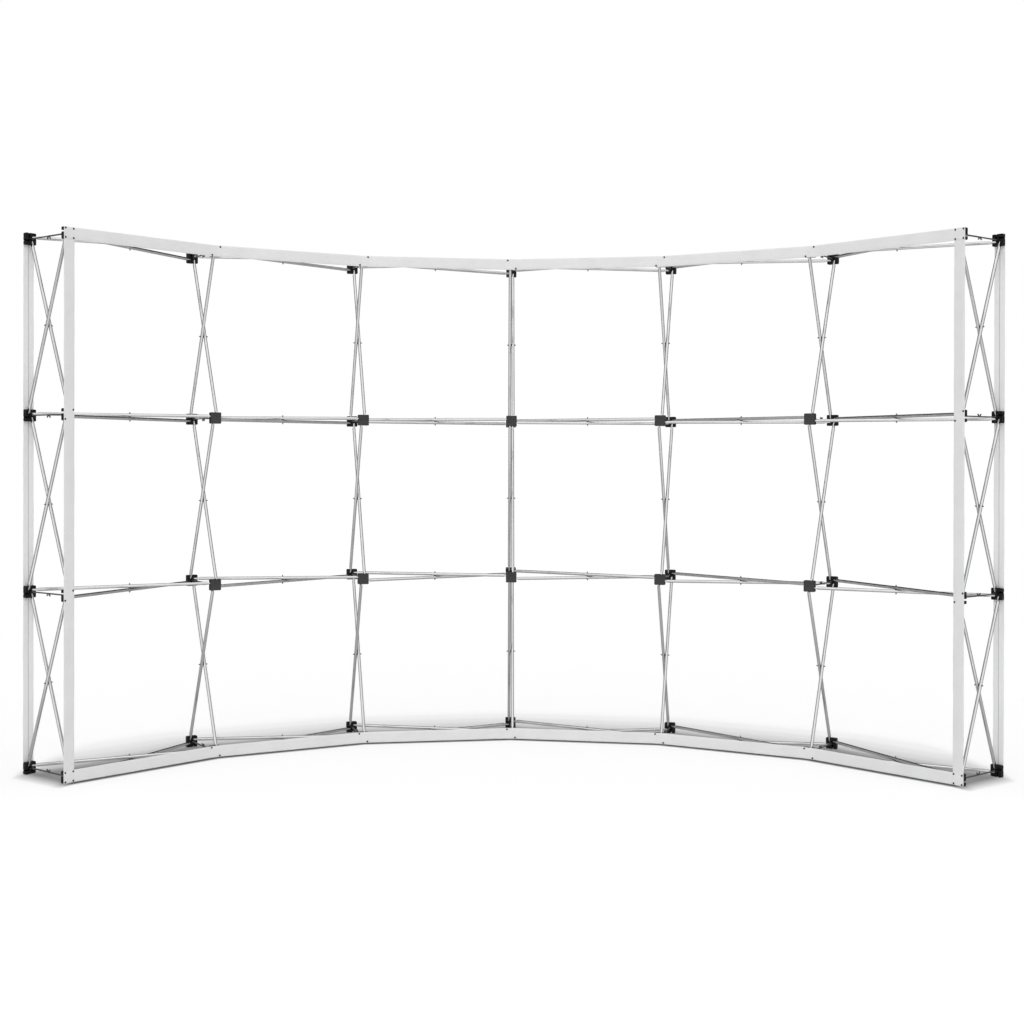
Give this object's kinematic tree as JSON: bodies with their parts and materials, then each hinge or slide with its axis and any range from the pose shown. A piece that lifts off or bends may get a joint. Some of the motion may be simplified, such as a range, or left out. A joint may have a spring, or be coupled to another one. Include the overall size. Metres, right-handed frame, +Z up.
{
  "type": "pop up display backwall frame",
  "caption": "Curved pop-up scissor frame of aluminium tubes and black pinwheel hubs, with hooked locks, and hook bands round its edge for a graphic.",
  "frame": {"origin": "middle of the footprint, on the floor", "axes": "+X along the wall to the right seen from its hollow side, +Y away from the viewer towards the bulging rear side, +Z up"},
  "size_m": [4.0792, 1.1996, 2.255],
  "materials": {
    "hub_plastic": "moulded satin black nylon",
    "tube_aluminium": "drawn, satin anodised",
    "pin_steel": "plain steel pin",
    "rivet_steel": "darkened steel rivet",
    "spacer_plastic": "black nylon washer",
    "lock_plastic": "moulded dark grey nylon",
    "pad_tape": "dark grey hook tape",
    "band_tape": "pale grey hook tape",
    "screw_black": "blackened pan head screw"
  },
  "bodies": {
    "frame": {"front_hubs_row_1": "hub_plastic", "front_hubs_row_2": "hub_plastic", "front_hubs_row_3": "hub_plastic", "front_hubs_row_4": "hub_plastic", "rear_hubs_row_1": "hub_plastic", "rear_hubs_row_2": "hub_plastic", "rear_hubs_row_3": "hub_plastic", "rear_hubs_row_4": "hub_plastic", "upper_tubes_row_1": "tube_aluminium", "upper_tubes_row_2": "tube_aluminium", "upper_tubes_row_3": "tube_aluminium", "upper_tubes_row_4": "tube_aluminium", "lower_tubes_row_1": "tube_aluminium", "lower_tubes_row_2": "tube_aluminium", "lower_tubes_row_3": "tube_aluminium", "lower_tubes_row_4": "tube_aluminium", "upright_tubes_level_1": "tube_aluminium", "upright_tubes_level_2": "tube_aluminium", "upright_tubes_level_3": "tube_aluminium", "tube_pins": "pin_steel", "rivets": "rivet_steel", "rivet_spacers": "spacer_plastic", "lock_pins": "pin_steel", "catch_arms": "lock_plastic", "hub_pads": "pad_tape", "top_band": "band_tape", "bottom_band": "band_tape", "left_band": "band_tape", "right_band": "band_tape", "rear_left_band": "band_tape", "rear_right_band": "band_tape", "band_screws": "screw_black"},
    "lock_arm_column_1_row_1": {"lock_arm_column_1_row_1": "lock_plastic"},
    "lock_arm_column_1_row_2": {"lock_arm_column_1_row_2": "lock_plastic"},
    "lock_arm_column_1_row_3": {"lock_arm_column_1_row_3": "lock_plastic"},
    "lock_arm_column_1_row_4": {"lock_arm_column_1_row_4": "lock_plastic"},
    "lock_arm_column_2_row_1": {"lock_arm_column_2_row_1": "lock_plastic"},
    "lock_arm_column_2_row_2": {"lock_arm_column_2_row_2": "lock_plastic"},
    "lock_arm_column_2_row_3": {"lock_arm_column_2_row_3": "lock_plastic"},
    "lock_arm_column_2_row_4": {"lock_arm_column_2_row_4": "lock_plastic"},
    "lock_arm_column_3_row_1": {"lock_arm_column_3_row_1": "lock_plastic"},
    "lock_arm_column_3_row_2": {"lock_arm_column_3_row_2": "lock_plastic"},
    "lock_arm_column_3_row_3": {"lock_arm_column_3_row_3": "lock_plastic"},
    "lock_arm_column_3_row_4": {"lock_arm_column_3_row_4": "lock_plastic"},
    "lock_arm_column_4_row_1": {"lock_arm_column_4_row_1": "lock_plastic"},
    "lock_arm_column_4_row_2": {"lock_arm_column_4_row_2": "lock_plastic"},
    "lock_arm_column_4_row_3": {"lock_arm_column_4_row_3": "lock_plastic"},
    "lock_arm_column_4_row_4": {"lock_arm_column_4_row_4": "lock_plastic"},
    "lock_arm_column_5_row_1": {"lock_arm_column_5_row_1": "lock_plastic"},
    "lock_arm_column_5_row_2": {"lock_arm_column_5_row_2": "lock_plastic"},
    "lock_arm_column_5_row_3": {"lock_arm_column_5_row_3": "lock_plastic"},
    "lock_arm_column_5_row_4": {"lock_arm_column_5_row_4": "lock_plastic"},
    "lock_arm_column_6_row_1": {"lock_arm_column_6_row_1": "lock_plastic"},
    "lock_arm_column_6_row_2": {"lock_arm_column_6_row_2": "lock_plastic"},
    "lock_arm_column_6_row_3": {"lock_arm_column_6_row_3": "lock_plastic"},
    "lock_arm_column_6_row_4": {"lock_arm_column_6_row_4": "lock_plastic"},
    "lock_arm_column_7_row_1": {"lock_arm_column_7_row_1": "lock_plastic"},
    "lock_arm_column_7_row_2": {"lock_arm_column_7_row_2": "lock_plastic"},
    "lock_arm_column_7_row_3": {"lock_arm_column_7_row_3": "lock_plastic"},
    "lock_arm_column_7_row_4": {"lock_arm_column_7_row_4": "lock_plastic"}
  },
  "joints": [
    {"name": "lock_swing_column_1_row_1", "type": "hinge", "parent": "frame", "child": "lock_arm_column_1_row_1", "pos_m": [-2.00215, -0.42665, 0.025], "axis": [-0.6004, -0.7997, 0], "range_deg": [0, 30]},
    {"name": "lock_swing_column_1_row_2", "type": "hinge", "parent": "frame", "child": "lock_arm_column_1_row_2", "pos_m": [-2.00215, -0.42665, 0.76], "axis": [0.6004, 0.7997, 0], "range_deg": [0, 30]},
    {"name": "lock_swing_column_1_row_3", "type": "hinge", "parent": "frame", "child": "lock_arm_column_1_row_3", "pos_m": [-2.00215, -0.42665, 1.495], "axis": [0.6004, 0.7997, 0], "range_deg": [0, 30]},
    {"name": "lock_swing_column_1_row_4", "type": "hinge", "parent": "frame", "child": "lock_arm_column_1_row_4", "pos_m": [-2.00215, -0.42665, 2.23], "axis": [0.6004, 0.7997, 0], "range_deg": [0, 30]},
    {"name": "lock_swing_column_2_row_1", "type": "hinge", "parent": "frame", "child": "lock_arm_column_2_row_1", "pos_m": [-1.45033, 0.11091, 0.025], "axis": [-0.8151, -0.5793, 0], "range_deg": [0, 30]},
    {"name": "lock_swing_column_2_row_2", "type": "hinge", "parent": "frame", "child": "lock_arm_column_2_row_2", "pos_m": [-1.45033, 0.11091, 0.76], "axis": [0.8151, 0.5793, 0], "range_deg": [0, 30]},
    {"name": "lock_swing_column_2_row_3", "type": "hinge", "parent": "frame", "child": "lock_arm_column_2_row_3", "pos_m": [-1.45033, 0.11091, 1.495], "axis": [0.8151, 0.5793, 0], "range_deg": [0, 30]},
    {"name": "lock_swing_column_2_row_4", "type": "hinge", "parent": "frame", "child": "lock_arm_column_2_row_4", "pos_m": [-1.45033, 0.11091, 2.23], "axis": [0.8151, 0.5793, 0], "range_deg": [0, 30]},
    {"name": "lock_swing_column_3_row_1", "type": "hinge", "parent": "frame", "child": "lock_arm_column_3_row_1", "pos_m": [-0.7612, 0.45525, 0.025], "axis": [-0.9527, -0.304, 0], "range_deg": [0, 30]},
    {"name": "lock_swing_column_3_row_2", "type": "hinge", "parent": "frame", "child": "lock_arm_column_3_row_2", "pos_m": [-0.7612, 0.45525, 0.76], "axis": [0.9527, 0.304, 0], "range_deg": [0, 30]},
    {"name": "lock_swing_column_3_row_3", "type": "hinge", "parent": "frame", "child": "lock_arm_column_3_row_3", "pos_m": [-0.7612, 0.45525, 1.495], "axis": [0.9527, 0.304, 0], "range_deg": [0, 30]},
    {"name": "lock_swing_column_3_row_4", "type": "hinge", "parent": "frame", "child": "lock_arm_column_3_row_4", "pos_m": [-0.7612, 0.45525, 2.23], "axis": [0.9527, 0.304, 0], "range_deg": [0, 30]},
    {"name": "lock_swing_column_4_row_1", "type": "hinge", "parent": "frame", "child": "lock_arm_column_4_row_1", "pos_m": [0, 0.57377, 0.025], "axis": [-1, 0, 0], "range_deg": [0, 30]},
    {"name": "lock_swing_column_4_row_2", "type": "hinge", "parent": "frame", "child": "lock_arm_column_4_row_2", "pos_m": [0, 0.57377, 0.76], "axis": [1, 0, 0], "range_deg": [0, 30]},
    {"name": "lock_swing_column_4_row_3", "type": "hinge", "parent": "frame", "child": "lock_arm_column_4_row_3", "pos_m": [0, 0.57377, 1.495], "axis": [1, 0, 0], "range_deg": [0, 30]},
    {"name": "lock_swing_column_4_row_4", "type": "hinge", "parent": "frame", "child": "lock_arm_column_4_row_4", "pos_m": [0, 0.57377, 2.23], "axis": [1, 0, 0], "range_deg": [0, 30]},
    {"name": "lock_swing_column_5_row_1", "type": "hinge", "parent": "frame", "child": "lock_arm_column_5_row_1", "pos_m": [0.7612, 0.45525, 0.025], "axis": [-0.9527, 0.304, 0], "range_deg": [0, 30]},
    {"name": "lock_swing_column_5_row_2", "type": "hinge", "parent": "frame", "child": "lock_arm_column_5_row_2", "pos_m": [0.7612, 0.45525, 0.76], "axis": [-0.9527, 0.304, 0], "range_deg": [0, 30]},
    {"name": "lock_swing_column_5_row_3", "type": "hinge", "parent": "frame", "child": "lock_arm_column_5_row_3", "pos_m": [0.7612, 0.45525, 1.495], "axis": [-0.9527, 0.304, 0], "range_deg": [0, 30]},
    {"name": "lock_swing_column_5_row_4", "type": "hinge", "parent": "frame", "child": "lock_arm_column_5_row_4", "pos_m": [0.7612, 0.45525, 2.23], "axis": [0.9527, -0.304, 0], "range_deg": [0, 30]},
    {"name": "lock_swing_column_6_row_1", "type": "hinge", "parent": "frame", "child": "lock_arm_column_6_row_1", "pos_m": [1.45033, 0.11091, 0.025], "axis": [-0.8151, 0.5793, 0], "range_deg": [0, 30]},
    {"name": "lock_swing_column_6_row_2", "type": "hinge", "parent": "frame", "child": "lock_arm_column_6_row_2", "pos_m": [1.45033, 0.11091, 0.76], "axis": [-0.8151, 0.5793, 0], "range_deg": [0, 30]},
    {"name": "lock_swing_column_6_row_3", "type": "hinge", "parent": "frame", "child": "lock_arm_column_6_row_3", "pos_m": [1.45033, 0.11091, 1.495], "axis": [-0.8151, 0.5793, 0], "range_deg": [0, 30]},
    {"name": "lock_swing_column_6_row_4", "type": "hinge", "parent": "frame", "child": "lock_arm_column_6_row_4", "pos_m": [1.45033, 0.11091, 2.23], "axis": [0.8151, -0.5793, 0], "range_deg": [0, 30]},
    {"name": "lock_swing_column_7_row_1", "type": "hinge", "parent": "frame", "child": "lock_arm_column_7_row_1", "pos_m": [2.00215, -0.42665, 0.025], "axis": [-0.6004, 0.7997, 0], "range_deg": [0, 30]},
    {"name": "lock_swing_column_7_row_2", "type": "hinge", "parent": "frame", "child": "lock_arm_column_7_row_2", "pos_m": [2.00215, -0.42665, 0.76], "axis": [-0.6004, 0.7997, 0], "range_deg": [0, 30]},
    {"name": "lock_swing_column_7_row_3", "type": "hinge", "parent": "frame", "child": "lock_arm_column_7_row_3", "pos_m": [2.00215, -0.42665, 1.495], "axis": [-0.6004, 0.7997, 0], "range_deg": [0, 30]},
    {"name": "lock_swing_column_7_row_4", "type": "hinge", "parent": "frame", "child": "lock_arm_column_7_row_4", "pos_m": [2.00215, -0.42665, 2.23], "axis": [0.6004, -0.7997, 0], "range_deg": [0, 30]}
  ]
}
